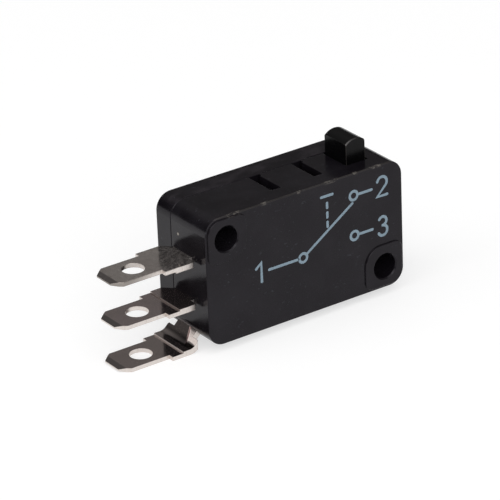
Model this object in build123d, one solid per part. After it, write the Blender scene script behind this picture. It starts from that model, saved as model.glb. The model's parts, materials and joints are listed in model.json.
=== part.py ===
from build123d import *
import os
from math import asin, atan2, cos, degrees, hypot, pi, radians, sin, sqrt

# A miniature snap action switch. Millimetres. The origin is on the axis of the lower
# mounting hole at mid depth. +X runs along the body away from the terminals, +Y from the
# front face to the back, +Z up through the plunger.

# Housing
body_length = 27.8
body_height = 15.9
hole_margin = 2.8
corner_radius = 2.0
edge_radius = 0.1
face_depth = 4.95
parting_depth = 2.0
parting_chamfer = 0.09
front_wall = 2.25
end_wall = 1.4
floor_wall = 1.0
roof_wall = 1.1
cavity_corner = 0.7
rib_thickness = 1.0
rib_root = 0.1
ledge_length = 3.0
support_inset = 0.4
fork_rib_height = 3.2

# Mounting holes, their bosses and the raised pads round them
hole_radius = 1.55
hole_chamfer = 0.15
spigot_wall = 0.45
boss_wall = 1.0
spigot_length = 0.9
pad_size = 5.35
pad_inset = 0.28
pad_rise = 0.2
pad_side_radius = 1.0
pad_inner_radius = 2.4
pad_chamfer = 0.06

# Openings in the roof: one for the plunger, two that take an auxiliary lever
plunger_opening = (-3.5, -0.35)
lever_slots = ((-14.15, -12.8), (-8.1, -6.86))
slot_notch = 0.22
slot_notch_depth = 0.6

# Terminals, stamped from strip and coined thinner at the tab
strip_thickness = 0.7
tab_thickness = 0.5
tab_width = 4.7
tab_length = 6.35
tab_tip_width = 2.75
tab_tip_chamfer = 1.2
tab_bevel_length = 0.75
tab_bevel_tip = 0.2
tab_hole_radius = 1.36
tab_hole_from_tip = 4.0
root_width = 6.1
nc_root_reach = 4.4
no_root_reach = 4.2
com_root_reach = 4.0
coin_from_shoulder = 1.5
neck_width = 3.8
neck_depth = -0.15
terminal_pitch = 5.3
strip_inner_end = -16.0
com_drop = 1.95
com_slope_depth = 0.92
com_bend_radius = 1.5
bend_radius = 0.55
tongue_inset = 0.1

# How far each end of a root stands off the housing, and the bevel of its corner
root_front = (0.45, 0.15)
root_back = (0.05, 1.1)
com_root_end = (0.4, 0.15)

# Contacts: copper rivets faced with silver alloy
contact_x = -17.5
contact_head_radius = 1.35
contact_base_height = 0.3
contact_face_height = 0.5
contact_dome_height = 0.2
contact_chamfer = 0.12
contact_shank_radius = 0.65
contact_open_gap = 1.0
contact_rest_gap = 0.03

# Contact arm and operating lever, both seated on the fork of the common terminal
fork_x = -8.25
fork_rise = 1.2
fork_gap_depth = 3.1
fork_coil_clearance = 0.2
lever_seat_below_arm = 0.9
arm_thickness = 0.4
arm_width = 3.9
arm_end_margin = 0.3
arm_eye_reach = 6.6
rail_clearance = 0.3
lever_thickness = 0.5
lever_length = 7.1
lever_eye_reach = 4.29
lever_rise = 21.2
eye_web = 0.4
eye_hole_radius = 0.5
blade_corner = 0.5

# Tension spring, of wire with six sides bent in short chords
wire_radius = 0.14
wire_sides = 6
coil_radius = 0.71
coil_turns = 10
chords_per_turn = 15
eye_chords = 12
eye_lead = 1.15

# Plunger
plunger_x = -2.05
plunger_width = 2.7
plunger_depth = (-2.6, 1.55)
plunger_rise = 3.05
plunger_crown_radius = 2.1
plunger_flange_width = 4.3
plunger_flange_height = 1.35
plunger_stem_width = 2.3
plunger_edge_bevel = 0.12
plunger_travel = 2.2
nose_groove_width = 1.5
nose_groove_height = 1.6

# Clearances
fit_gap = 0.03
seat_gap = 0.03
stop_gap = 0.05
sliding_gap = 0.08

# Faces and levels that follow from these sizes
right_end = hole_margin
left_end = right_end - body_length
base = -hole_margin
top = base + body_height
lower_hole = (0.0, 0.0)
upper_hole = (left_end + hole_margin, top - hole_margin)
spigot_radius = hole_radius + spigot_wall
boss_radius = hole_radius + boss_wall
cavity_front = front_wall - face_depth
floor_level = base + floor_wall
roof_level = top - roof_wall
left_wall = left_end + end_wall
right_wall = right_end - end_wall
nc_level = upper_hole[1] - boss_radius - stop_gap - strip_thickness / 2
no_level = nc_level - terminal_pitch
com_level = floor_level + strip_thickness / 2
com_tab_level = com_level - com_drop
nc_shoulder = left_end - nc_root_reach
no_shoulder = left_end - no_root_reach
com_shoulder = left_end - com_root_reach
coin_depth = strip_thickness - tab_thickness
contact_height = contact_base_height + contact_face_height
nc_contact_face = nc_level - strip_thickness / 2 - contact_height
no_contact_face = no_level + strip_thickness / 2 + contact_height
arm_seat = (fork_x, (nc_contact_face + no_contact_face) / 2)
lever_seat = (fork_x + strip_thickness, arm_seat[1] - lever_seat_below_arm)
fork_top = arm_seat[1] + fork_rise
fork_gap = 2 * (coil_radius + wire_radius + fork_coil_clearance)
rail_gap = 2 * (coil_radius + wire_radius + rail_clearance)
plunger_tip = top + plunger_rise
arm_contact_reach = arm_seat[0] - contact_x
moving_head_height = (nc_contact_face - no_contact_face - contact_open_gap - arm_thickness) / 2
arm_rise = degrees(asin((contact_open_gap / 2 - contact_rest_gap) / arm_contact_reach))


def prism(face, front, back):
    """Extrude a face drawn in side view (x, z) from one depth to another."""
    return extrude(Plane.XZ.offset(-back) * face, back - front, dir=(0, -1, 0))


def plate(face, low, high):
    """Extrude a face drawn in plan (x, y) from one height to another."""
    return extrude(Pos(0, 0, low) * face, high - low, dir=(0, 0, 1))


def window(x_span, z_span):
    """A side-view rectangle between two x values and two z values."""
    width = x_span[1] - x_span[0]
    height = z_span[1] - z_span[0]
    return Pos(x_span[0] + width / 2, z_span[0] + height / 2) * Rectangle(width, height)


def bore(centre, radius, front, back):
    """A cylinder along Y at a side-view centre."""
    return prism(Pos(*centre) * Circle(radius), front, back)


def housing_outline():
    centre = Pos((left_end + right_end) / 2, (base + top) / 2)
    return centre * RectangleRounded(body_length, body_height, corner_radius)


def pad_outline(corner, inward):
    """The raised pad round a mounting hole, with its outer corner inside the housing's corner."""
    shift = pad_inset + pad_size / 2
    pad = Pos(corner[0] + inward[0] * shift, corner[1] + inward[1] * shift) * Rectangle(pad_size, pad_size)
    for rank, radius in ((0, corner_radius - pad_inset), (-1, pad_inner_radius)):
        ranked = pad.vertices().sort_by(lambda v: inward[0] * v.X + inward[1] * v.Y)
        pad = fillet(ranked[rank], radius)
    far_side = pad.vertices().sort_by(lambda v: inward[0] * v.X - inward[1] * v.Y)
    return fillet([far_side[0], far_side[-1]], pad_side_radius)


def add_pads(shell, face_y, outward):
    """Both pads on the main face at face_y, with their rims bevelled."""
    corners = (((right_end, base), (-1, 1)), ((left_end, top), (1, -1)))
    for corner, inward in corners:
        face = Plane.XZ.offset(-face_y) * pad_outline(corner, inward)
        pad = extrude(face, pad_rise, dir=(0, outward, 0))
        rim = pad.edges().group_by(Axis.Y)[-1 if outward > 0 else 0]
        shell += chamfer(rim, pad_chamfer)
    return shell


def drill_mounting_holes(shell, outward):
    """Both mounting holes, with their mouths bevelled where they open on the pads."""
    reach = face_depth + pad_rise
    for centre in (lower_hole, upper_hole):
        shell -= bore(centre, hole_radius, -reach, reach)
    mouths = shell.edges().filter_by(GeomType.CIRCLE)
    mouths = mouths.filter_by(lambda e: abs(e.radius - hole_radius) < 1e-3)
    return chamfer(mouths.group_by(Axis.Y)[-1 if outward > 0 else 0], hole_chamfer)


def cavity_outline():
    """The chamber inside the walls, less the bosses round the mounting holes."""
    chamber = window((left_wall, right_wall), (floor_level, roof_level))
    chamber = fillet(chamber.vertices(), cavity_corner)
    for centre in (lower_hole, upper_hole):
        chamber -= Pos(*centre) * Circle(boss_radius)
    return chamber


def chamber_ribs():
    """Side view of the ribs that carry the terminals and guide the plunger's stem."""
    nc_top = nc_level + strip_thickness / 2
    nc_base = nc_level - strip_thickness / 2
    no_top = no_level + strip_thickness / 2
    no_base = no_level - strip_thickness / 2
    com_top = com_level + strip_thickness / 2
    ledge_end = left_wall + ledge_length
    support = strip_inner_end - support_inset
    guide_top = roof_level - stop_gap - plunger_flange_height - plunger_travel - sliding_gap
    guide = (guide_top - rib_thickness, guide_top)
    stem_left = plunger_x - plunger_stem_width / 2 - sliding_gap
    stem_right = plunger_x + plunger_stem_width / 2 + sliding_gap
    fork_back = fork_x + strip_thickness
    fork_rib = (floor_level - rib_root, floor_level + fork_rib_height)
    ribs = window((left_wall - rib_root, ledge_end), (nc_base - rib_thickness, nc_base))
    ribs += window((support - rib_thickness, support), (nc_top, roof_level + rib_root))
    ribs += window((left_wall - rib_root, ledge_end), (no_top, no_top + rib_thickness))
    ribs += window((left_wall - rib_root, support), (no_base - rib_thickness, no_base))
    ribs += window((support - rib_thickness, support), (com_top, no_base))
    ribs += window((ledge_end - rib_thickness, ledge_end), (com_top, no_base))
    ribs += window((stem_left - rib_thickness, stem_left), guide)
    ribs += window((stem_right, right_wall + rib_root), guide)
    ribs += window((fork_back, fork_back + rib_thickness), fork_rib)
    return ribs


def strip_section(route, bends, thickness):
    """Side view of a strip of even thickness along its centre line, which has a radius at each bend."""
    path = FilletPolyline(*route, radius=bends) if bends else Line(*route)
    return trace(path, thickness)


def com_route(*end):
    """Centre line of the common terminal: tab, slope into the housing, then on to the end."""
    slope_top = left_end + com_slope_depth
    slope_base = slope_top - com_drop
    tip = com_shoulder - tab_length
    return (tip, com_tab_level), (slope_base, com_tab_level), (slope_top, com_level), *end


def terminal_openings():
    """The slots in the end wall, open to the parting face so that the strips drop in."""
    spans = []
    for level in (nc_level, no_level):
        half = strip_thickness / 2 + fit_gap
        slot = window((left_end - 1, left_wall + 1), (level - half, level + half))
        spans.append((slot, neck_depth - neck_width / 2 - fit_gap))
    route = com_route((left_wall + 1, com_level))
    com_slot = strip_section(route, (com_bend_radius, bend_radius), strip_thickness + 2 * fit_gap)
    spans.append((com_slot, neck_depth - neck_width / 2 - fit_gap))
    cut = Part()
    for face, front in spans:
        cut += prism(face, front, parting_depth)
    return cut


def make_case():
    """The front shell: main wall, side walls, bosses and ribs, open at the parting face."""
    shell = prism(housing_outline(), -face_depth, parting_depth)
    shell = fillet(shell.edges().group_by(Axis.Y)[0], edge_radius)
    shell = chamfer(shell.edges().group_by(Axis.Y)[-1], parting_chamfer)
    shell = add_pads(shell, -face_depth, -1)
    chamber = cavity_outline() - chamber_ribs()
    shell -= prism(chamber, cavity_front, parting_depth)
    for span in (*lever_slots, plunger_opening):
        shell -= prism(window(span, (roof_level - 0.1, top + 1)), cavity_front, parting_depth)
    for span in lever_slots:
        notch = window((span[1], span[1] + slot_notch), (roof_level - 0.1, top + 1))
        shell -= prism(notch, parting_depth - slot_notch_depth, parting_depth)
    shell -= terminal_openings()
    for centre in (lower_hole, upper_hole):
        socket_floor = parting_depth - spigot_length - fit_gap
        shell -= bore(centre, spigot_radius + fit_gap, socket_floor, parting_depth)
    return drill_mounting_holes(shell, -1)


def make_cover():
    """The back shell: a plate with a spigot in each boss and a tongue behind each neck."""
    shell = prism(housing_outline(), parting_depth, face_depth)
    shell = fillet(shell.edges().group_by(Axis.Y)[-1], edge_radius)
    shell = chamfer(shell.edges().group_by(Axis.Y)[0], parting_chamfer)
    shell = add_pads(shell, face_depth, 1)
    for centre in (lower_hole, upper_hole):
        shell += bore(centre, spigot_radius, parting_depth - spigot_length, parting_depth)
    neck_back = neck_depth + neck_width / 2 + fit_gap
    for level in (nc_level, no_level):
        half = strip_thickness / 2
        tongue = window((left_end + tongue_inset, left_wall), (level - half, level + half))
        shell += prism(tongue, neck_back, parting_depth)
    return drill_mounting_holes(shell, 1)


def plan_side(shoulder, root_end, inner_end, side):
    """Outline of one side of a terminal's plan: tip, tab, wide root, neck."""
    tip = shoulder - tab_length
    standoff, bevel = root_end
    end = left_end - standoff
    half = [
        (tip, tab_tip_width / 2),
        (tip + tab_tip_chamfer, tab_width / 2),
        (shoulder, tab_width / 2),
        (shoulder, root_width / 2),
        (end - bevel, root_width / 2),
        (end, root_width / 2 - bevel),
        (end, neck_width / 2),
        (inner_end, neck_width / 2),
    ]
    return [(x, side * y) for x, y in half]


def terminal_plan(shoulder, front_root, back_root, inner_end):
    """Plan of a terminal about its centre line, with the hole in its tab."""
    front = plan_side(shoulder, front_root, inner_end, -1)
    back = plan_side(shoulder, back_root, inner_end, 1)
    hole = Pos(shoulder - tab_length + tab_hole_from_tip, 0) * Circle(tab_hole_radius)
    return Polygon(*front, *reversed(back), align=None) - hole


def coined_section(section, shoulder, level, coined_side):
    """Thin the tab on one face of the strip and bevel its tip on both."""
    tip = shoulder - tab_length
    tab_middle = level - coined_side * coin_depth / 2
    limits = sorted((tab_middle + coined_side * tab_thickness / 2, level + coined_side * strip_thickness))
    section -= window((tip - 1, shoulder + coin_from_shoulder), limits)
    for side in (1, -1):
        section -= Polygon(
            (tip, tab_middle + side * tab_bevel_tip / 2),
            (tip + tab_bevel_length, tab_middle + side * tab_thickness / 2),
            (tip, tab_middle + side * tab_thickness / 2),
            align=None,
        )
    return section


def make_terminal(section, plan):
    """A stamped terminal is its side view and its plan in one piece of strip."""
    solid = prism(section, neck_depth - root_width / 2, neck_depth + root_width / 2)
    return solid & plate(Pos(0, neck_depth) * plan, base - body_height, top)


def make_side_terminal(shoulder, level, coined_side):
    """The upper and middle terminals, alike but for the face that is coined."""
    route = ((shoulder - tab_length, level), (strip_inner_end, level))
    section = coined_section(strip_section(route, (), strip_thickness), shoulder, level, coined_side)
    blade = make_terminal(section, terminal_plan(shoulder, root_front, root_back, strip_inner_end))
    hole = Cylinder(contact_shank_radius + fit_gap, 2 * strip_thickness)
    return blade - Pos(contact_x, neck_depth, level) * hole


def make_com_terminal():
    """The lower terminal runs along the floor and stands up as the fork."""
    fork_middle = fork_x + strip_thickness / 2
    route = com_route((fork_middle, com_level), (fork_middle, fork_top))
    section = strip_section(route, (com_bend_radius, bend_radius, bend_radius), strip_thickness)
    section = coined_section(section, com_shoulder, com_tab_level, 1)
    for seat, radius in ((arm_seat, arm_thickness / 2), (lever_seat, lever_thickness / 2)):
        section -= Pos(*seat) * Circle(radius + seat_gap)
    plan = terminal_plan(com_shoulder, com_root_end, com_root_end, fork_x + strip_thickness)
    gap = Pos(fork_x, neck_depth, fork_top - fork_gap_depth / 2)
    return make_terminal(section, plan) - gap * Box(4 * strip_thickness, fork_gap, fork_gap_depth)


def fixed_contact(strip_face, outward):
    """Rivet and silver face on a fixed strip; outward is the way the face looks."""
    shank = Pos(0, 0, -strip_thickness / 2) * Cylinder(contact_shank_radius, strip_thickness)
    rivet = shank + Pos(0, 0, contact_base_height / 2) * Cylinder(contact_head_radius, contact_base_height)
    face = Pos(0, 0, contact_base_height + contact_face_height / 2) * Cylinder(
        contact_head_radius, contact_face_height
    )
    face = chamfer(face.edges().group_by(Axis.Z)[-1], contact_chamfer)
    place = Pos(contact_x, neck_depth, strip_face) * Rot(0 if outward > 0 else 180, 0, 0)
    return place * rivet, place * face


def arm_place():
    """The arm's frame: seat at the origin, arm along -X, tilted up to the upper contact."""
    return Pos(arm_seat[0], neck_depth, arm_seat[1]) * Rot(0, arm_rise, 0)


def lever_place():
    """The lever's frame: seat at the origin, lever along +X, lifted by the spring."""
    return Pos(lever_seat[0], neck_depth, lever_seat[1]) * Rot(0, -lever_rise, 0)


def rocking_blade(plan, thickness, toward):
    """A flat blade whose seat end is rounded to rock in its notch."""
    reach = lever_length + arm_contact_reach
    side = Circle(thickness / 2) + window(sorted((0, toward * reach)), (-thickness / 2, thickness / 2))
    return prism(side, -arm_width, arm_width) & plate(plan, -thickness, thickness)


def eye_cuts(reach, toward):
    """Plan of the hole that takes a spring eye and of the open window between the rails."""
    hole = Pos(toward * (reach + coil_radius), 0) * Circle(eye_hole_radius)
    window_end = toward * (reach - eye_web / 2)
    gap = window(sorted((window_end, -toward * arm_thickness)), (-rail_gap / 2, rail_gap / 2))
    corners = gap.vertices().sort_by(lambda v: toward * v.X)[-2:]
    return hole + fillet(corners, blade_corner)


def make_contact_arm():
    """Fork-shaped bronze arm: two rails on the fork, the contact at the far end."""
    rails_end = -(arm_eye_reach + eye_web)
    plan = window((rails_end, arm_thickness), (-arm_width / 2, arm_width / 2))
    end_radius = contact_head_radius + arm_end_margin
    plan += Polygon(
        (rails_end, -arm_width / 2),
        (rails_end, arm_width / 2),
        (-arm_contact_reach, end_radius),
        (-arm_contact_reach, -end_radius),
        align=None,
    )
    plan += Pos(-arm_contact_reach, 0) * Circle(end_radius)
    plan -= eye_cuts(arm_eye_reach, -1)
    plan -= Pos(-arm_contact_reach, 0) * Circle(contact_shank_radius + fit_gap)
    return arm_place() * rocking_blade(plan, arm_thickness, -1)


def make_moving_contact():
    """The arm's rivet with a domed silver face on each side."""
    place = arm_place() * Pos(-arm_contact_reach, 0, 0)
    base_height = contact_base_height
    rivet = Cylinder(contact_shank_radius, arm_thickness + 2 * base_height)
    face_foot = arm_thickness / 2 + base_height
    crown = arm_thickness / 2 + moving_head_height
    dome_radius = (contact_head_radius**2 + contact_dome_height**2) / (2 * contact_dome_height)
    faces = []
    for side in (1, -1):
        middle = side * (arm_thickness + base_height) / 2
        rivet += Pos(0, 0, middle) * Cylinder(contact_head_radius, base_height)
        face = Pos(0, 0, side * (face_foot + crown) / 2) * Cylinder(contact_head_radius, crown - face_foot)
        faces.append(place * (face & Pos(0, 0, side * (crown - dome_radius)) * Sphere(dome_radius)))
    return place * rivet, faces[0], faces[1]


def make_operating_lever():
    """Fork-shaped steel lever: two rails on the fork, a pad under the plunger's nose."""
    plan = window((-lever_thickness, lever_length), (-arm_width / 2, arm_width / 2))
    plan = fillet(plan.vertices().sort_by(Axis.X)[-2:], blade_corner)
    plan -= eye_cuts(lever_eye_reach, 1)
    return lever_place() * rocking_blade(plan, lever_thickness, 1)


def place_of(frame, reach):
    """Side-view point at a reach along a blade's own X."""
    spot = (frame * Pos(reach, 0, 0)).position
    return spot.X, spot.Z


def spring_route(length):
    """Centre line of the spring wire along +X: an eye, its lead, the coil, a lead, an eye."""
    chord = 2 * pi / chords_per_turn
    coil_chords = coil_turns * chords_per_turn
    coil_length = length - 2 * eye_lead
    eye = []
    for k in range(eye_chords, -1, -1):
        eye.append((-coil_radius * sin(k * chord), 0, -coil_radius * cos(k * chord)))
    coil = []
    for k in range(coil_chords + 1):
        along = eye_lead + coil_length * k / coil_chords
        coil.append((along, coil_radius * sin(k * chord), -coil_radius * cos(k * chord)))
    far_eye = [(length - x, y, z) for x, y, z in reversed(eye)]
    return Polyline(*eye, *coil, *far_eye)


def make_snap_spring():
    """Tension coil between the arm's eye hole and the lever's, in one run of wire."""
    start = place_of(arm_place(), -arm_eye_reach)
    end = place_of(lever_place(), lever_eye_reach)
    slope = degrees(atan2(end[1] - start[1], end[0] - start[0]))
    route = spring_route(hypot(end[0] - start[0], end[1] - start[1]))
    section = Plane(route @ 0, z_dir=route % 0) * RegularPolygon(wire_radius, wire_sides)
    wire = sweep(section, path=route, transition=Transition.RIGHT)
    return Pos(start[0], neck_depth, start[1]) * Rot(0, -slope, 0) * wire


def nose_level():
    """Height at which the plunger's round nose just clears the lever's pad."""
    rise = radians(lever_rise)
    nose_radius = plunger_stem_width / 2
    along = plunger_x - lever_seat[0]
    centre_above = (lever_thickness / 2 + nose_radius + seat_gap) / cos(rise)
    return lever_seat[1] + along * sin(rise) / cos(rise) + centre_above - nose_radius


def plunger_side():
    """Side view of the plunger: crown, stop flange, stem and round nose."""
    half = plunger_width / 2
    stem_half = plunger_stem_width / 2
    flange_top = roof_level - stop_gap
    flange_base = flange_top - plunger_flange_height
    crown_drop = plunger_crown_radius - sqrt(plunger_crown_radius**2 - half**2)
    shoulder = plunger_tip - crown_drop
    head = make_face([
        Polyline((-half, shoulder), (-half, flange_base), (half, flange_base), (half, shoulder)),
        ThreePointArc((half, shoulder), (0, plunger_tip), (-half, shoulder)),
    ])
    flange = window((-plunger_flange_width / 2, plunger_flange_width / 2), (flange_base, flange_top))
    nose_centre = nose_level() + stem_half
    stem = window((-stem_half, stem_half), (nose_centre, flange_base))
    side = head + flange + stem + Pos(0, nose_centre) * Circle(stem_half)
    return Pos(plunger_x, 0) * side


def make_plunger():
    """The button: its nose straddles the spring's eye and rests on the lever."""
    body = prism(plunger_side(), *plunger_depth)
    crown = body.edges().filter_by(GeomType.CIRCLE)
    crown = crown.filter_by(lambda e: abs(e.radius - plunger_crown_radius) < 1e-3)
    body = chamfer(crown, plunger_edge_bevel)
    groove_top = nose_level() + nose_groove_height
    groove = window((plunger_x - plunger_width, plunger_x + plunger_width), (nose_level() - 1, groove_top))
    return body - prism(groove, neck_depth - nose_groove_width / 2, neck_depth + nose_groove_width / 2)


def main():
    nc_rivet, nc_face = fixed_contact(nc_level - strip_thickness / 2, -1)
    no_rivet, no_face = fixed_contact(no_level + strip_thickness / 2, 1)
    moving_rivet, upper_face, lower_face = make_moving_contact()
    parts = {
        "case": make_case(),
        "cover": make_cover(),
        "plunger": make_plunger(),
        "operating_lever": make_operating_lever(),
        "snap_spring": make_snap_spring(),
        "contact_arm": make_contact_arm(),
        "moving_contact_rivet": moving_rivet,
        "moving_contact_upper_face": upper_face,
        "moving_contact_lower_face": lower_face,
        "terminal_nc": make_side_terminal(nc_shoulder, nc_level, -1),
        "contact_nc_rivet": nc_rivet,
        "contact_nc_face": nc_face,
        "terminal_no": make_side_terminal(no_shoulder, no_level, 1),
        "contact_no_rivet": no_rivet,
        "contact_no_face": no_face,
        "terminal_com": make_com_terminal(),
    }
    os.makedirs("parts", exist_ok=True)
    for node, solid in parts.items():
        export_step(solid, f"parts/{node}.step")
        print(node, round(solid.volume, 3))


main()
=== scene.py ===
import json
import math

import bmesh
import bpy
from mathutils import Euler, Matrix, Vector


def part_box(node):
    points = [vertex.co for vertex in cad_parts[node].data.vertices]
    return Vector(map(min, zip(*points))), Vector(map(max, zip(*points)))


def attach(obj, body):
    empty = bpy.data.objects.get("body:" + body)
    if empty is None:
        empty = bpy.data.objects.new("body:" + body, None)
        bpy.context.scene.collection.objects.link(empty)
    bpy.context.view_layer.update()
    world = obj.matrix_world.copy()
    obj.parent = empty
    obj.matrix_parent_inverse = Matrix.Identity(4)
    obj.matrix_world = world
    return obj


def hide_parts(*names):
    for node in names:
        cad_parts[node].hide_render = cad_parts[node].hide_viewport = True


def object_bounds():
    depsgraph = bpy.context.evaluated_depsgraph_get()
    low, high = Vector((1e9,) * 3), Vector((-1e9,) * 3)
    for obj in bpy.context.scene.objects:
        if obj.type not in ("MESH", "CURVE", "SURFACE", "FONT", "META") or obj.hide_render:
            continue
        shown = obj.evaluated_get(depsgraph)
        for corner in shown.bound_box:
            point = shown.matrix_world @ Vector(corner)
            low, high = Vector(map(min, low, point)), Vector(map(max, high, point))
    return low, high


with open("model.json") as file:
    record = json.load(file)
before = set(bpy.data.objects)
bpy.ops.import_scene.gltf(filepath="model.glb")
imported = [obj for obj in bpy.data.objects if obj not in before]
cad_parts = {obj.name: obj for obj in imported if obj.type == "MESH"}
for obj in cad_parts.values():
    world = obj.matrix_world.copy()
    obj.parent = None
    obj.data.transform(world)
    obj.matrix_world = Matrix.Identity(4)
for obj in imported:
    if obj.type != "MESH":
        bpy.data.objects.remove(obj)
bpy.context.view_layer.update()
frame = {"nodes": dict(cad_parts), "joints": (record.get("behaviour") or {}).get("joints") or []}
mm = 0.001
nodes = frame["nodes"]
print("frame loaded,", len(nodes), "nodes")

bevelSamples = 8
mixFirst, mixSecond, mixResult = 6, 7, 2  # places of the colour sockets on a Mix node


# a node socket that adds, scales and compares like a number, through Math nodes
class Sock:
    def __init__(self, finish, socket):
        self.finish = finish
        self.socket = socket

    def maths(self, operation, first, second=0.0, clamp=False):
        settings = {"operation": operation, "use_clamp": clamp}
        return self.finish.node("ShaderNodeMath", settings, {0: first, 1: second})

    def __add__(self, other):
        return self.maths("ADD", self, other)

    def __radd__(self, other):
        return self.maths("ADD", other, self)

    def __sub__(self, other):
        return self.maths("SUBTRACT", self, other)

    def __rsub__(self, other):
        return self.maths("SUBTRACT", other, self)

    def __mul__(self, other):
        return self.maths("MULTIPLY", self, other)

    def __rmul__(self, other):
        return self.maths("MULTIPLY", other, self)

    def __truediv__(self, other):
        return self.maths("DIVIDE", self, other)

    def __rtruediv__(self, other):
        return self.maths("DIVIDE", other, self)

    def __abs__(self):
        return self.maths("ABSOLUTE", self)

    def atLeast(self, other):
        return self.maths("MAXIMUM", self, other)

    def clamped(self):
        return self.maths("ADD", self, 0.0, clamp=True)


# one material, floor or world, and the single way of adding a node to it
class Finish:
    def __init__(self, owner):
        owner.use_nodes = True
        self.owner = owner
        self.tree = owner.node_tree
        self.tree.nodes.clear()

    def node(self, kind, settings=None, values=None, out=0):
        made = self.tree.nodes.new(kind)
        for key, value in (settings or {}).items():
            if key == "stops":
                ramp = made.color_ramp
                for place, (at, colour) in enumerate(value):
                    stop = ramp.elements[place] if place < 2 else ramp.elements.new(at)
                    stop.position = at
                    stop.color = colour
            else:
                setattr(made, key, value)
        for key, value in (values or {}).items():
            if isinstance(value, Sock):
                self.tree.links.new(value.socket, made.inputs[key])
            else:
                made.inputs[key].default_value = value
        return Sock(self, made.outputs[out]) if made.outputs else made

    def place(self):
        return self.node("ShaderNodeTexCoord", out="Object")

    # other outputs of the node that a socket came from
    def others(self, sock, names):
        return [Sock(self, sock.socket.node.outputs[name]) for name in names]

    def axes(self, vector):
        return self.others(self.node("ShaderNodeSeparateXYZ", values={0: vector}), range(3))

    def facing(self, kind="Normal"):
        return self.axes(self.node("ShaderNodeNewGeometry", out=kind))

    def rays(self):
        path = self.node("ShaderNodeLightPath")
        return self.others(path, ("Is Camera Ray", "Is Glossy Ray", "Is Transmission Ray"))

    # a small stretch along an axis draws the noise out along it
    def noise(self, place, size, detail=3.0, roughness=0.55, stretch=None):
        if stretch:
            place = self.node("ShaderNodeMapping", values={"Vector": place, "Scale": stretch})
        values = {"Vector": place, "Scale": 1 / size, "Detail": detail, "Roughness": roughness}
        return self.node("ShaderNodeTexNoise", values=values)

    # rises from toLow at low to toHigh at high, and falls where low is the larger
    def step(self, value, low, high, toLow=0.0, toHigh=1.0):
        settings = {"interpolation_type": "SMOOTHSTEP"}
        values = {"Value": value, "From Min": low, "From Max": high, "To Min": toLow, "To Max": toHigh}
        return self.node("ShaderNodeMapRange", settings, values)

    def mixed(self, share, first, second):
        values = {"Factor": share, mixFirst: first, mixSecond: second}
        return self.node("ShaderNodeMix", {"data_type": "RGBA"}, values, out=mixResult)

    def rounded(self, radius):
        return self.node("ShaderNodeBevel", {"samples": bevelSamples}, {"Radius": radius})

    # 1 on an outer or inner edge, and 0 a radius away from it
    def edges(self, radius, low, high):
        flat = self.node("ShaderNodeNewGeometry", out="Normal")
        turned = self.node("ShaderNodeVectorMath", {"operation": "DOT_PRODUCT"},
                           {0: self.rounded(radius), 1: flat}, out="Value")
        return self.step(1 - turned, low, high)

    def bumped(self, height, distance, normal=None):
        values = {"Height": height, "Distance": distance, "Strength": 1.0}
        if normal:
            values["Normal"] = normal
        return self.node("ShaderNodeBump", values=values)

    def surface(self, values):
        shader = self.node("ShaderNodeBsdfPrincipled", values=values)
        self.node("ShaderNodeOutputMaterial", values={"Surface": shader})
        return self.owner


def newFinish(name):
    return Finish(bpy.data.materials.new(name))


def rgb(red, green, blue):
    return (red, green, blue, 1.0)


def grey(level):
    return rgb(level, level, level)


def dress(piece, material):
    piece.data.materials.clear()
    piece.data.materials.append(material)
    for face in piece.data.polygons:
        face.material_index = 0


def linked(name, data):
    made = bpy.data.objects.new(name, data)
    bpy.context.scene.collection.objects.link(made)
    return made


def meshPiece(name, shape):
    mesh = bpy.data.meshes.new(name)
    shape.to_mesh(mesh)
    shape.free()
    return linked(name, mesh)


# ---- view
view = {
    "place": (-222.26, -303.68, 181.21),  # millimetres
    "turn": (64.354, 2.134, -35.262),  # degrees
    "lens": 253.94,
    "near": 0.02,
    "far": 20,
}


def makeCamera():
    data = bpy.data.cameras.new("camera")
    data.lens = view["lens"]
    data.clip_start = view["near"]
    data.clip_end = view["far"]
    camera = linked("camera", data)
    camera.location = Vector(view["place"]) * mm
    camera.rotation_euler = Euler([math.radians(a) for a in view["turn"]], "XYZ")
    bpy.context.scene.camera = camera


# ---- studio: a white floor up to the horizon, and a dim room with soft lamps over it
studio = {
    "white": grey(1.0),
    "diffuse": grey(0.36),
    "dark": grey(0.02),
    "room": (  # how bright the room is at each sine of the height over the horizon
        (0.0, grey(1.0)),
        (0.02, grey(1.0)),
        (0.05, grey(0.02)),
        (0.21, grey(0.022)),
        (0.38, rgb(0.142, 0.137, 0.134)),
        (0.52, rgb(0.15, 0.146, 0.143)),
        (0.63, rgb(0.30, 0.295, 0.29)),
        (0.80, rgb(0.46, 0.455, 0.45)),
    ),
    # where the room is lit: the wall behind to the left stays dark between floor and ceiling
    "litRight": (-0.65, -0.15),
    "litFront": (0.1, -0.2),
    "litFloor": (0.03, 0.02),
    "litCeiling": (0.5, 0.75),
    "lamps": (  # name, place, size, power
        ("lampOver", (-0.30, -0.40, 0.90), (1.3, 1.3), 5.5),
        ("lampFront", (-0.25, -0.80, 0.40), (0.9, 0.6), 3.0),
        ("lampLeft", (-0.85, 0.15, 0.50), (0.8, 0.6), 2.0),
    ),
}


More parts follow.
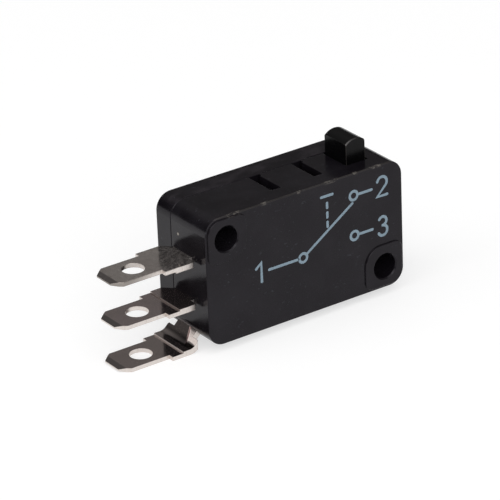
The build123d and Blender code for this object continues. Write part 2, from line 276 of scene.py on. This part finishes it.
def makeWorld():
    world = Finish(bpy.data.worlds.new("studio"))
    bpy.context.scene.world = world.owner
    across, ahead, rise = world.axes(world.node("ShaderNodeTexCoord", out="Generated"))
    room = world.node("ShaderNodeValToRGB", {"stops": studio["room"]}, {"Fac": rise})
    bright = world.step(across, *studio["litRight"]).atLeast(world.step(ahead, *studio["litFront"]))
    bright = bright.atLeast(world.step(rise, *studio["litFloor"]))
    bright = bright.atLeast(world.step(rise, *studio["litCeiling"]))
    room = world.mixed(bright, studio["dark"], room)
    camera, glossy, through = world.rays()
    lit = world.mixed(glossy.atLeast(through), studio["diffuse"], room)
    seen = world.mixed(camera, lit, studio["white"])
    shown = world.node("ShaderNodeBackground", values={"Color": seen, "Strength": 1.0})
    world.node("ShaderNodeOutputWorld", values={"Surface": shown})


def makeLamps():
    for name, place, size, power in studio["lamps"]:
        data = bpy.data.lights.new(name, "AREA")
        data.shape = "RECTANGLE"
        data.size, data.size_y = size
        data.energy = power
        lamp = linked(name, data)
        lamp.location = place
        lamp.rotation_euler = (-Vector(place)).to_track_quat("-Z", "Y").to_euler()


# the floor takes soft shadows, and glows a little so that it looks white
ground = {
    "halfSize": 3.0,
    "squares": 8,
    "gap": 0.02 * mm,
    "colour": grey(0.45),
    "mottle": grey(0.47),
    "mottleSize": 0.4,
    "lift": 0.62,  # what the eye and the reflections see over what the lamps light
}


def makeFloor():
    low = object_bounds()[0].z
    shape = bmesh.new()
    squares = ground["squares"]
    bmesh.ops.create_grid(shape, x_segments=squares, y_segments=squares, size=ground["halfSize"])
    floor = meshPiece("floor", shape)
    floor.location = (0, 0, low - ground["gap"])
    finish = newFinish("floor")
    finish.owner.cycles.emission_sampling = "NONE"
    mottle = finish.noise(finish.place(), ground["mottleSize"])
    tone = finish.mixed(mottle, ground["colour"], ground["mottle"])
    camera, glossy, through = finish.rays()
    seen = camera.atLeast(glossy).atLeast(through)
    matt = finish.node("ShaderNodeBsdfDiffuse", values={"Color": tone})
    lift = finish.node("ShaderNodeEmission", values={"Strength": seen * ground["lift"]})
    lit = finish.node("ShaderNodeAddShader", values={0: matt, 1: lift})
    clear = finish.node("ShaderNodeBsdfTransparent")
    under = finish.node("ShaderNodeNewGeometry", out="Backfacing")
    both = finish.node("ShaderNodeMixShader", values={0: under, 1: lit, 2: clear})
    finish.node("ShaderNodeOutputMaterial", values={"Surface": both})
    dress(floor, finish.owner)


bpy.context.scene.view_settings.view_transform = "Standard"
makeCamera()
makeWorld()
makeFloor()
makeLamps()
print("camera and studio made")


# ---- black moulding of the two shells
moulding = {
    "colour": rgb(0.0054, 0.0045, 0.0061),
    "dusty": rgb(0.0100, 0.0088, 0.0112),
    # scuff colour, also used for the painted highlight along the roof's front edge
    "scuffAndHighlight": rgb(0.17, 0.155, 0.14),
    "fleckColour": rgb(0.36, 0.33, 0.29),
    "dust": rgb(0.05, 0.055, 0.065),
    "smudge": rgb(0.0215, 0.0185, 0.022),
    "shine": {"case": 0.205, "cover": 0.165},
    "shineTint": rgb(0.97, 0.92, 1.0),
    "rough": (0.15, 0.24),
    "wearAndHighlightRough": 0.35,
    "edgeRound": 0.045 * mm,
    "padProud": 0.2 * mm,
    # each noise has its size, detail, roughness and stretch
    "cloud": (5 * mm, 4.0),
    "grain": (0.10 * mm, 2.0),
    "drag": (0.55 * mm, 5.0, 0.65, (0.25, 1.0, 1.0)),
    "ragged": (0.24 * mm, 3.0, 0.6, (0.6, 1.0, 1.0)),
    "speck": (0.28 * mm, 2.0, 0.55, (0.5, 1.0, 1.0)),
    "patch": (3 * mm,),
    "smear": (1.6 * mm, 5.0, 0.6, (0.55, 1.0, 1.0)),
    # bands in which a noise, a distance or a slope fades in or out
    "dustyBand": (0.35, 0.75),
    "roughBand": (0.3, 0.7),
    "rubAndHighlightReach": (0.22 * mm, 0.08 * mm),
    "rubAndHighlightBreaks": (0.2, 0.55),
    "edgeWear": (0.09 * mm, 0.02, 0.12),
    "edgeBreaks": (0.3, 0.6),
    "chipReach": (0.38 * mm, 0.10 * mm),
    "chipBreaks": (0.40, 0.62),
    "chipCore": 0.4,
    "speckBand": (0.64, 0.73),
    "patchBand": (0.42, 0.6),
    "smearBand": (0.40, 0.66),
    "upward": (0.6, 0.9),
    # how much of each kind of wear, and of the painted highlight along the roof's front edge, is laid over
    # the moulding
    "rubAndHighlight": 0.14,
    "edgeRubbed": 0.035,
    "chipped": 0.7,
    "dusted": 0.4,
    "smudged": {"case": 0.12, "cover": 0.85},
    "grainShare": 0.6,
    "dragShare": 0.4,
    "relief": 0.0015 * mm,
    "fleck": (-25.0 * mm, 0.57 * mm, 9.71 * mm),  # on the left end, over the upper tab
    "fleckReach": (0.22 * mm, 0.1 * mm),
    "chips": (  # along the roof's front edge: where, and how far each reaches
        (-24.6, 0.5), (-21.0, 1.3), (-16.6, 0.7), (-11.9, 0.4), (-7.2, 1.4), (-3.9, 0.4), (-0.9, 1.2),
    ),
}


# 1 at the chips along the roof's front edge
def chipsAt(finish, x):
    near = 0.0
    for at, reach in moulding["chips"]:
        spread = finish.step(abs(x - at * mm), reach * mm, reach * moulding["chipCore"] * mm)
        near = spread.atLeast(near)
    return near


def mouldingFinish(node):
    finish = newFinish(f"{node} moulding")
    place = finish.place()
    x, y, z = finish.axes(place)
    low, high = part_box("case")
    cloud = finish.noise(place, *moulding["cloud"])
    grain = finish.noise(place, *moulding["grain"])
    drag = finish.noise(place, *moulding["drag"])
    # distance from the roof's front edge
    offEdge = abs(z - high.z).atLeast(abs(y - (low.y + moulding["padProud"])))
    # a pale line along the roof's front edge, partly wear and partly a painted highlight
    rubAndHighlight = finish.step(offEdge, *moulding["rubAndHighlightReach"]) * finish.step(drag, *moulding["rubAndHighlightBreaks"])
    anyEdge = finish.edges(*moulding["edgeWear"]) * finish.step(drag, *moulding["edgeBreaks"])
    ragged = finish.noise(place, *moulding["ragged"])
    chipped = chipsAt(finish, x) * finish.step(offEdge, *moulding["chipReach"])
    chipped = chipped * finish.step(ragged, *moulding["chipBreaks"])
    # wear, chips and the painted highlight along the roof's front edge all lighten towards the scuff
    # colour
    wearAndHighlight = (rubAndHighlight * moulding["rubAndHighlight"]).atLeast(anyEdge * moulding["edgeRubbed"])
    wearAndHighlight = wearAndHighlight.atLeast(chipped * moulding["chipped"])
    speck = finish.noise(place, *moulding["speck"])
    patch = finish.noise(place, *moulding["patch"])
    dusted = finish.step(speck, *moulding["speckBand"]) * finish.step(patch, *moulding["patchBand"])
    upward = finish.facing()[2]
    smear = finish.noise(place, *moulding["smear"])
    smudged = finish.step(smear, *moulding["smearBand"]) * finish.step(upward, *moulding["upward"])
    away = finish.node("ShaderNodeVectorMath", {"operation": "DISTANCE"},
                       {0: place, 1: moulding["fleck"]}, out="Value")
    fleck = finish.step(away, *moulding["fleckReach"])
    dusty = finish.step(cloud, *moulding["dustyBand"])
    colour = finish.mixed(dusty, moulding["colour"], moulding["dusty"])
    colour = finish.mixed(smudged * moulding["smudged"][node], colour, moulding["smudge"])
    colour = finish.mixed(dusted * moulding["dusted"], colour, moulding["dust"])
    colour = finish.mixed(wearAndHighlight, colour, moulding["scuffAndHighlight"])
    colour = finish.mixed(fleck, colour, moulding["fleckColour"])
    rough = finish.step(cloud, *moulding["roughBand"], *moulding["rough"])
    height = grain * moulding["grainShare"] + drag * moulding["dragShare"]
    rounded = finish.rounded(moulding["edgeRound"])
    return finish.surface({
        "Base Color": colour,
        "Roughness": rough + wearAndHighlight * moulding["wearAndHighlightRough"],
        "Normal": finish.bumped(height, moulding["relief"], rounded),
        "Specular IOR Level": moulding["shine"][node],
        "Specular Tint": moulding["shineTint"],
    })


# ---- plunger, a slicker and blacker moulding
button = {
    "colour": rgb(0.0018, 0.0018, 0.002),
    # lighter edge colour: wear all round, and a painted highlight along the front edges
    "rubAndHighlight": rgb(0.075, 0.068, 0.062),
    "rimHighlightColour": rgb(0.11, 0.105, 0.105),
    "rough": (0.18, 0.25),
    "roughBand": (0.3, 0.7),
    "rubAndHighlightRough": 0.1,
    "shine": 0.13,
    "edgeRound": 0.05 * mm,
    "cloud": (2 * mm, 4.0),
    "lines": (0.14 * mm, 3.0, 0.55, (1.0, 1.0, 0.12)),
    "frontReach": (0.5 * mm, 0.2 * mm),
    "edgeWear": (0.10 * mm, 0.02, 0.1),
    "edgeBreaks": (0.3, 0.55),
    "wornAnywhere": 0.12,
    "highlightInFront": 0.6,
    # the rim is where the crown turns down to the front; a painted highlight lies along it, brightest on
    # its left
    "rimForward": (-0.12, -0.3),
    "rimShortOfFront": (-0.97, -0.85),
    "rimUpward": (0.1, 0.3),
    "rimLeft": (0.22, -0.3),
    "rimBreaks": (0.25, 0.6),
    "lineShare": 0.5,
    "relief": 0.002 * mm,
}


def buttonFinish():
    finish = newFinish("plunger moulding")
    place = finish.place()
    y = finish.axes(place)[1]
    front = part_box("plunger")[0].y
    cloud = finish.noise(place, *button["cloud"])
    lines = finish.noise(place, *button["lines"])
    atFront = finish.step(y, *[front + reach for reach in button["frontReach"]])
    # the edges are lighter: wear everywhere, and a painted highlight along the front edges
    rubAndHighlight = finish.edges(*button["edgeWear"]) * (button["wornAnywhere"] + atFront * button["highlightInFront"])
    rubAndHighlight = rubAndHighlight * finish.step(cloud, *button["edgeBreaks"])
    across, ahead, upward = finish.facing()
    # a painted highlight along the crown's front rim, brightest on its left
    rimHighlight = finish.step(ahead, *button["rimForward"]) * finish.step(ahead, *button["rimShortOfFront"])
    rimHighlight = rimHighlight * finish.step(upward, *button["rimUpward"]) * atFront
    rimHighlight = rimHighlight * finish.step(across, *button["rimLeft"]) * finish.step(cloud, *button["rimBreaks"])
    colour = finish.mixed(rubAndHighlight, button["colour"], button["rubAndHighlight"])
    colour = finish.mixed(rimHighlight, colour, button["rimHighlightColour"])
    rough = finish.step(cloud, *button["roughBand"], *button["rough"])
    rounded = finish.rounded(button["edgeRound"])
    return finish.surface({
        "Base Color": colour,
        "Roughness": rough + rubAndHighlight * button["rubAndHighlightRough"],
        "Normal": finish.bumped(lines * button["lineShare"] + cloud, button["relief"], rounded),
        "Specular IOR Level": button["shine"],
    })


# ---- tinned strip of the terminals: rolled on its flats, sheared at its sides
tinned = {
    "tarnish": rgb(0.52, 0.455, 0.43),
    # the bevelled tip's colour is a painted shade
    "tip": rgb(0.19, 0.17, 0.165),
    "sheared": rgb(0.72, 0.665, 0.63),
    "shadedSheared": rgb(0.30, 0.275, 0.255),
    # the colour of the painted shade in the crease at the slope's foot
    "paintedCreaseShade": rgb(0.05, 0.044, 0.044),
    "drawnOut": rgb(0.40, 0.355, 0.33),
    "burr": rgb(0.38, 0.29, 0.23),
    "rough": (0.10, 0.17),
    "shearedRough": 0.30,
    # each noise has its size, detail, roughness and stretch
    "cloud": (2.4 * mm, 5.0, 0.6),
    "speckle": (0.3 * mm, 4.0, 0.7),
    "drawn": (0.15 * mm, 3.0, 0.55, (0.05, 1.0, 1.0)),
    "shearLines": (0.12 * mm, 3.0, 0.55, (1.0, 1.0, 0.2)),
    # bands in which a noise, a distance or a slope fades in or out
    "upright": (0.4, 0.15),
    "cloudBand": (0.45, 0.75),
    "cloudShare": 0.7,
    "speckleBand": (0.6, 0.8),
    "speckleShare": 0.3,
    "roughBand": (0.3, 0.7),
    "filmBand": (0.36, 0.66),
    "bevelLength": 0.75 * mm,
    "tipBlur": 0.06 * mm,
    "lipReach": (0.15 * mm, 0.1 * mm),
    "lipLook": (-0.5, -0.8),
    "stepHighlightFilm": 0.7,
    "streakBand": (0.5, 0.72),
    "streakShare": 0.35,
    "burrEdge": (0.07 * mm, 0.02, 0.2),
    "burrShare": 0.55,
    "drawnShare": 0.5,
    "shearShare": 1.5,
    "relief": 0.0012 * mm,
}

# each tab's metal, how much of its film is metallic, and how round its edges are; the colours and films
# are lit and shaded copies of one tin, a painted light: the upper tab painted lit, the two below painted
# shaded
tabs = {
    "terminal_nc": {
        "finish": "tin painted lit",
        "colour": rgb(0.67, 0.615, 0.58),
        "film": (0.965, 0.85),
        "edgeRound": 0.14 * mm,
        "shadedTowardsTip": (-34.0 * mm, -28.6 * mm),  # its sheared side is painted darker towards the tip, a painted shade
    },
    "terminal_no": {
        "finish": "tin painted shaded",
        "colour": rgb(0.65, 0.552, 0.545),
        "film": (0.995, 0.965),
        "edgeRound": 0.035 * mm,
    },
    "terminal_com": {
        "finish": "bent tin painted shaded",
        "colour": rgb(0.59, 0.51, 0.49),
        "film": (0.995, 0.965),
        "edgeRound": 0.035 * mm,
        # where it is pressed thinner, the step that looks towards the tip is painted pale, a painted
        # highlight
        "lipAt": -27.5 * mm,
        "stepHighlightShare": 0.75,
        "rolled": {  # its slope's front edge, which rolls down from a slanting line
            "foot": -26.3,  # where the slope starts
            "footBlur": 0.3,
            "edge": -1.85,  # where the line crosses the foot
            "lean": 0.7,  # how far the line runs back over each millimetre of the slope
            "blend": 0.3,
            "fall": 1.0,
            # a painted shade lies in the crease along the foot of the slope and is deepest in front
            "creaseStart": (-0.5, -0.2),
            "creaseEnd": (0.95, 0.35),
            "creaseUpward": (0.1, 0.3),
            "creaseShortOfRoll": (0.15, 0.0),
            "creaseAcross": (2.5 * mm, -1.5 * mm),
            "creaseShadeShare": (0.6, 0.92),
            "dullReach": (0.0, 0.3),
            "dullBand": (0.2, 0.7),
            "dullShare": (0.6, 0.95),
        },
    },
}


# how far each place on the slope lies past the line where its edge starts to roll down, in millimetres
def pastRoll(finish, x, y, rolled):
    limit = (x / mm - rolled["foot"]) * rolled["lean"] + rolled["edge"]
    values = {0: limit - y / mm, 1: 0.0, 2: rolled["blend"]}
    past = finish.node("ShaderNodeMath", {"operation": "SMOOTH_MAX"}, values)
    onSlope = [(rolled["foot"] + side * rolled["footBlur"]) * mm for side in (-1, 1)]
    return past * finish.step(x, *onSlope)


# paints shade into the crease at the foot of the slope
def paintedCreaseShade(finish, colour, x, y, upward, past, rolled):
    start, end = ([(rolled["foot"] + reach) * mm for reach in rolled[name]]
                  for name in ("creaseStart", "creaseEnd"))
    creaseShade = finish.step(x, *start) * finish.step(x, *end)
    creaseShade = creaseShade * finish.step(upward, *rolled["creaseUpward"])
    creaseShade = creaseShade * finish.step(past, *rolled["creaseShortOfRoll"])
    creaseShade = creaseShade * finish.step(y, *rolled["creaseAcross"], *rolled["creaseShadeShare"])
    return finish.mixed(creaseShade, colour, tinned["paintedCreaseShade"])


# the colour of a terminal's sheared sides
def sideColour(finish, tab, x, shearLines, stepHighlight):
    streaks = finish.step(shearLines, *tinned["streakBand"]) * tinned["streakShare"]
    burrs = finish.edges(*tinned["burrEdge"]) * tinned["burrShare"]
    colour = tinned["sheared"]
    # on the upper tab, a painted shade darkens the sheared side towards the tip
    if "shadedTowardsTip" in tab:
        colour = finish.mixed(finish.step(x, *tab["shadedTowardsTip"]), tinned["shadedSheared"], colour)
    return finish.mixed(streaks.atLeast(burrs) * (1 - stepHighlight), colour, tinned["burr"])


def tinnedFinish(node):
    tab = tabs[node]
    finish = newFinish(tab["finish"])
    place = finish.place()
    x, y = finish.axes(place)[:2]
    cloud = finish.noise(place, *tinned["cloud"])
    speckle = finish.noise(place, *tinned["speckle"])
    drawn = finish.noise(place, *tinned["drawn"])
    shearLines = finish.noise(place, *tinned["shearLines"])
    across, _, upward = finish.facing("True Normal")
    side = finish.step(abs(upward), *tinned["upright"])
    clouded = finish.step(cloud, *tinned["cloudBand"]) * tinned["cloudShare"]
    speckled = finish.step(speckle, *tinned["speckleBand"]) * tinned["speckleShare"]
    # each tab's colour and film are painted light: the upper tab painted lit, the lower two painted shaded
    colour = finish.mixed((clouded + speckled).clamped(), tab["colour"], tinned["tarnish"])
    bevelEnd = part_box(node)[0].x + tinned["bevelLength"]
    # the bevelled tip is painted dark, a painted shade
    tip = finish.step(x, bevelEnd + tinned["tipBlur"], bevelEnd - tinned["tipBlur"])
    colour = finish.mixed(tip, colour, tinned["tip"])
    stepHighlight = 0.0
    # a painted highlight on the pressed step: its burr streaks are left out and its film is made less
    # metallic, so it looks pale
    if "lipAt" in tab:
        stepHighlight = finish.step(abs(x - tab["lipAt"]), *tinned["lipReach"])
        stepHighlight = finish.step(across, *tinned["lipLook"]) * stepHighlight * tab["stepHighlightShare"]
    colour = finish.mixed(side, colour, sideColour(finish, tab, x, shearLines, stepHighlight))
    rough = finish.step(cloud, *tinned["roughBand"], *tinned["rough"])
    rough = rough + side * (tinned["shearedRough"] - tinned["rough"][0])
    height = drawn * tinned["drawnShare"] + side * shearLines * tinned["shearShare"]
    normal = finish.bumped(height, tinned["relief"], finish.rounded(tab["edgeRound"]))
    if "rolled" in tab:
        rolled = tab["rolled"]
        past = pastRoll(finish, x, y, rolled)
        normal = finish.bumped(past * (1 - side) * -rolled["fall"], mm, normal)
        colour = paintedCreaseShade(finish, colour, x, y, upward, past, rolled)
        dulled = finish.step(past, *rolled["dullReach"]) * (1 - side)
        dulled = dulled * finish.step(drawn, *rolled["dullBand"], *rolled["dullShare"])
        colour = finish.mixed(dulled, colour, tinned["drawnOut"])
    film = finish.step(speckle, *tinned["filmBand"], *tab["film"])
    return finish.surface({
        "Base Color": colour,
        "Metallic": film * (1 - stepHighlight * tinned["stepHighlightFilm"]),
        "Roughness": rough,
        "Normal": normal,
    })


# ---- the metals inside: bright colour, dull colour, roughness
innerMetals = {
    "spring bronze": (rgb(0.70, 0.42, 0.22), rgb(0.42, 0.24, 0.13), 0.30),
    "lever steel": (grey(0.55), rgb(0.30, 0.29, 0.28), 0.34),
    "spring steel": (rgb(0.58, 0.55, 0.50), rgb(0.33, 0.30, 0.26), 0.26),
    "copper rivet": (rgb(0.80, 0.38, 0.23), rgb(0.45, 0.21, 0.13), 0.32),
    "silver face": (rgb(0.84, 0.82, 0.79), rgb(0.52, 0.50, 0.47), 0.28),
}

metalGrain = {
    "cloud": (1.1 * mm, 4.0, 0.6),
    "lines": (0.08 * mm, 3.0, 0.55, (0.1, 1.0, 1.0)),
    "dullBand": (0.4, 0.75),
    "lineBand": (0.3, 0.7),
    "smoother": 0.07,
    "rougher": 0.1,
    "relief": 0.004 * mm,
    "edgeRound": 0.03 * mm,
}


def metalFinish(name):
    bright, dull, rough = innerMetals[name]
    finish = newFinish(name)
    place = finish.place()
    cloud = finish.noise(place, *metalGrain["cloud"])
    lines = finish.noise(place, *metalGrain["lines"])
    roughness = (rough - metalGrain["smoother"], rough + metalGrain["rougher"])
    rounded = finish.rounded(metalGrain["edgeRound"])
    return finish.surface({
        "Base Color": finish.mixed(finish.step(cloud, *metalGrain["dullBand"]), bright, dull),
        "Metallic": 1.0,
        "Roughness": finish.step(lines, *metalGrain["lineBand"], *roughness),
        "Normal": finish.bumped(lines, metalGrain["relief"], rounded),
    })


def dressNodes():
    metals = {name: metalFinish(name) for name in innerMetals}
    finishes = {
        "case": mouldingFinish("case"),
        "cover": mouldingFinish("cover"),
        "plunger": buttonFinish(),
        "contact_arm": metals["spring bronze"],
        "operating_lever": metals["lever steel"],
        "moving_contact_rivet": metals["copper rivet"],
        "moving_contact_upper_face": metals["silver face"],
        "moving_contact_lower_face": metals["silver face"],
    }
    for node in tabs:
        finishes[node] = tinnedFinish(node)
    for level in ("nc", "no"):
        finishes[f"contact_{level}_rivet"] = metals["copper rivet"]
        finishes[f"contact_{level}_face"] = metals["silver face"]
    for name, material in finishes.items():
        dress(nodes[name], material)
    return metals


metals = dressNodes()
print("finishes made")


# ---- round wire of the tension spring, where the frame has it six-sided
spring = {
    "wireRadius": 0.13 * mm,
    "turns": 10,
    "turnPoints": 30,
    "lead": 1.15 * mm,
    "leadPoints": 6,
    "eyeAngle": 288,
    "eyeStep": 12,
    "sides": 12,
}


# centre line of the wire: an eye and a straight lead at each end, and the coil between them
def springLine(start, end, radius):
    length = (end - start).length
    along = (end - start).normalized()
    across = Vector((0, 1, 0))
    up = along.cross(across)
    if up.z < 0:
        up = -up
    lead = spring["lead"]
    half = []
    for step in range(spring["eyeAngle"] // spring["eyeStep"], -1, -1):
        angle = math.radians(step * spring["eyeStep"])
        half.append((-radius * math.sin(angle), 0.0, -radius * math.cos(angle)))
    half += [(lead * k / spring["leadPoints"], 0.0, -radius) for k in range(1, spring["leadPoints"])]
    coil = []
    inner = length - 2 * lead
    steps = spring["turns"] * spring["turnPoints"]
    for step in range(steps + 1):
        angle = 2 * math.pi * step / spring["turnPoints"]
        coil.append((lead + inner * step / steps, radius * math.sin(angle), -radius * math.cos(angle)))
    whole = half + coil + [(length - x, y, z) for x, y, z in reversed(half)]
    return [start + along * x + across * y + up * z for x, y, z in whole]


def tube(name, line, radius, sides):
    shape = bmesh.new()
    rings = []
    normal = Vector((0, 1, 0))
    for place, point in enumerate(line):
        before = line[max(place - 1, 0)]
        after = line[min(place + 1, len(line) - 1)]
        ahead = (after - before).normalized()
        normal = (normal - ahead * normal.dot(ahead)).normalized()
        other = ahead.cross(normal)
        ring = []
        for k in range(sides):
            angle = 2 * math.pi * k / sides
            outward = normal * math.cos(angle) + other * math.sin(angle)
            ring.append(shape.verts.new(point + outward * radius))
        rings.append(ring)
    for first, second in zip(rings, rings[1:]):
        for k in range(sides):
            following = (k + 1) % sides
            shape.faces.new((first[k], first[following], second[following], second[k]))
    shape.faces.new(list(reversed(rings[0])))
    shape.faces.new(rings[-1])
    bmesh.ops.recalc_face_normals(shape, faces=shape.faces)
    piece = meshPiece(name, shape)
    for face in piece.data.polygons:
        face.use_smooth = len(face.vertices) == 4  # the two ends stay flat
    return piece


def makeSpring():
    low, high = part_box("snap_spring")
    swivel = next(j for j in frame["joints"] if j["name"] == "spring_swivel")
    reach = (high.y - low.y) / 2
    start = Vector(swivel["pos_m"])
    end = Vector((high.x - reach, start.y, high.z - reach))
    line = springLine(start, end, reach - spring["wireRadius"])
    wire = tube("spring_wire", line, spring["wireRadius"], spring["sides"])
    dress(wire, metals["spring steel"])
    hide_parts("snap_spring")
    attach(wire, "snap_spring")


makeSpring()
print("spring wound")


# ---- print on the front face: the changeover symbol and its contact numbers
ink = {
    "colour": rgb(0.27, 0.36, 0.43),
    "thin": rgb(0.17, 0.225, 0.27),
    "shine": 0.25,
    "rough": (0.45, 0.6),
    "roughBand": (0.3, 0.7),
    "speckle": (0.12 * mm, 3.0, 0.6),
    "speckleBand": (0.52, 0.72),
    "speckleShare": 0.6,
    "cloud": (2.5 * mm, 3.0),
    "cloudBand": (0.5, 0.8),
    "cloudShare": 0.3,
    "relief": 0.002 * mm,
    "thickness": 0.006 * mm,
    "overlap": 0.001 * mm,
    # the drawing, in millimetres of the front face
    "line": 0.34,
    "numberLine": 0.35,
    "numberHeight": 2.4,
    "ringRadius": 0.55,
    "common": (-16.4, 4.6),
    "pivot": (-11.6, 4.6),
    "closed": (-4.2, 10.3),
    "open": (-4.2, 5.2),
    "lineEnd": -1.6,
    "tipGap": 0.2,
    "pushTop": 11.4,
    "pushHalf": 0.8,
    "pushGap": 0.8,
    "dash": 0.6,
    "dashPitch": 1.2,
    "dashFoot": 0.5,
    "firstNumberGap": 1.9,
    "numberGap": 0.8,
    "arcStep": 12,
    "arcLeast": 4,
    "mitreLeast": 0.1,
    "mitreMost": 1.7,
}

# runs of points and arcs, in shares of the number's height; an arc is its centre, radius and two angles
numberStrokes = {
    "1": (((0.04, 0.75), (0.34, 1.0), (0.34, 0.0)),),
    "2": ((("arc", 0.3, 0.71, 0.29, 165, -38), (0.0, 0.0), (0.6, 0.0)),),
    "3": ((("arc", 0.29, 0.77, 0.23, 150, -90),), (("arc", 0.29, 0.27, 0.27, 90, -155),)),
}


def arcPoints(x, z, radius, start, end):
    count = max(ink["arcLeast"], int(abs(end - start) / ink["arcStep"]))
    angles = [math.radians(start + (end - start) * k / count) for k in range(count + 1)]
    return [(x + radius * math.cos(a), z + radius * math.sin(a)) for a in angles]


# the two edges of an even stroke, with its corners mitred
def strokeEdges(line, half, closed):
    left, right = [], []
    last = len(line) - 1
    for place, (x, z) in enumerate(line):
        before = line[place - 1] if place else (line[last - 1] if closed else line[0])
        after = line[place + 1] if place < last else (line[1] if closed else line[last])
        into = Vector((x - before[0], z - before[1]))
        out = Vector((after[0] - x, after[1] - z))
        into = (into if into.length else out).normalized()
        out = (out if out.length else into).normalized()
        mid = (into + out).normalized()
        reach = half * min(1 / max(mid.dot(out), ink["mitreLeast"]), ink["mitreMost"])
        left.append((x - mid.y * reach, z + mid.x * reach))
        right.append((x + mid.y * reach, z - mid.x * reach))
    return left, right


# a stroke laid on the face, closed into a ring or with round ends
def stroke(shape, line, width, face, closed=False):
    def laid(points):
        return [shape.verts.new((x * mm, face, z * mm)) for x, z in points]

    left, right = (laid(edge) for edge in strokeEdges(line, width / 2, closed))
    for k in range(len(line) - 1):
        shape.faces.new((left[k], right[k], right[k + 1], left[k + 1]))
    if closed:
        return
    for end, near, first, second in ((line[0], line[1], left[0], right[0]),
                                     (line[-1], line[-2], right[-1], left[-1])):
        away = math.degrees(math.atan2(end[1] - near[1], end[0] - near[0]))
        cap = arcPoints(*end, width / 2, away - 90, away + 90)[1:-1]
        shape.faces.new([first, *laid(cap), second])


def numberLines(digit, x, z):
    height = ink["numberHeight"]
    for run in numberStrokes[digit]:
        line = []
        for item in run:
            line += arcPoints(*item[1:]) if item[0] == "arc" else [item]
        yield [(x + a * height, z + b * height) for a, b in line]


def symbolLines():
    common, pivot, shut, clear = ink["common"], ink["pivot"], ink["closed"], ink["open"]
    ring = ink["ringRadius"] + ink["line"] / 2
    tip = (shut[0] - ink["tipGap"], shut[1] - ring - ink["tipGap"])
    along = Vector((tip[0] - pivot[0], tip[1] - pivot[1])).normalized() * ring
    lines = [
        [common, (pivot[0] - ring, pivot[1])],
        [(pivot[0] + along.x, pivot[1] + along.y), tip],
        [(shut[0] + ring, shut[1]), (ink["lineEnd"], shut[1])],
        [(clear[0] + ring, clear[1]), (ink["lineEnd"], clear[1])],
    ]
    push = ((pivot[0] + tip[0]) / 2, (pivot[1] + tip[1]) / 2)
    foot = push[1] + ink["dashFoot"]
    while foot < ink["pushTop"] - ink["pushGap"]:
        lines.append([(push[0], foot), (push[0], foot + ink["dash"])])
        foot += ink["dashPitch"]
    lines.append([(push[0] + side * ink["pushHalf"], ink["pushTop"]) for side in (-1, 1)])
    return lines


# each line of the print, its width, and whether it is a ring
def printLines():
    common, shut, clear = ink["common"], ink["closed"], ink["open"]
    half = ink["numberHeight"] / 2
    lines = [(line, ink["line"], False) for line in symbolLines()]
    for centre in (ink["pivot"], shut, clear):
        lines.append((arcPoints(*centre, ink["ringRadius"], 0, 360), ink["line"], True))
    places = {
        "1": (common[0] - ink["firstNumberGap"], common[1] - half),
        "2": (ink["lineEnd"] + ink["numberGap"], shut[1] - half),
        "3": (ink["lineEnd"] + ink["numberGap"], clear[1] - half),
    }
    for digit, corner in places.items():
        lines += [(line, ink["numberLine"], False) for line in numberLines(digit, *corner)]
    return lines


def inkFinish():
    finish = newFinish("pad ink")
    place = finish.place()
    speckle = finish.noise(place, *ink["speckle"])
    cloud = finish.noise(place, *ink["cloud"])
    speckled = finish.step(speckle, *ink["speckleBand"]) * ink["speckleShare"]
    clouded = finish.step(cloud, *ink["cloudBand"]) * ink["cloudShare"]
    return finish.surface({
        "Base Color": finish.mixed((speckled + clouded).clamped(), ink["colour"], ink["thin"]),
        "Roughness": finish.step(speckle, *ink["roughBand"], *ink["rough"]),
        "Normal": finish.bumped(speckle, ink["relief"]),
        "Specular IOR Level": ink["shine"],
    })


def makePrint():
    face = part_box("case")[0].y + moulding["padProud"] - ink["thickness"]
    shape = bmesh.new()
    for level, (line, width, closed) in enumerate(printLines()):
        # every other line lies a hair further out, so that none shares a plane with the next
        stroke(shape, line, width, face - ink["overlap"] * (level % 2), closed)
    shape.normal_update()
    for flat in shape.faces:
        if flat.normal.y > 0:
            flat.normal_flip()
    piece = meshPiece("contact_print", shape)
    dress(piece, inkFinish())
    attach(piece, "housing")


makePrint()
print("print laid")
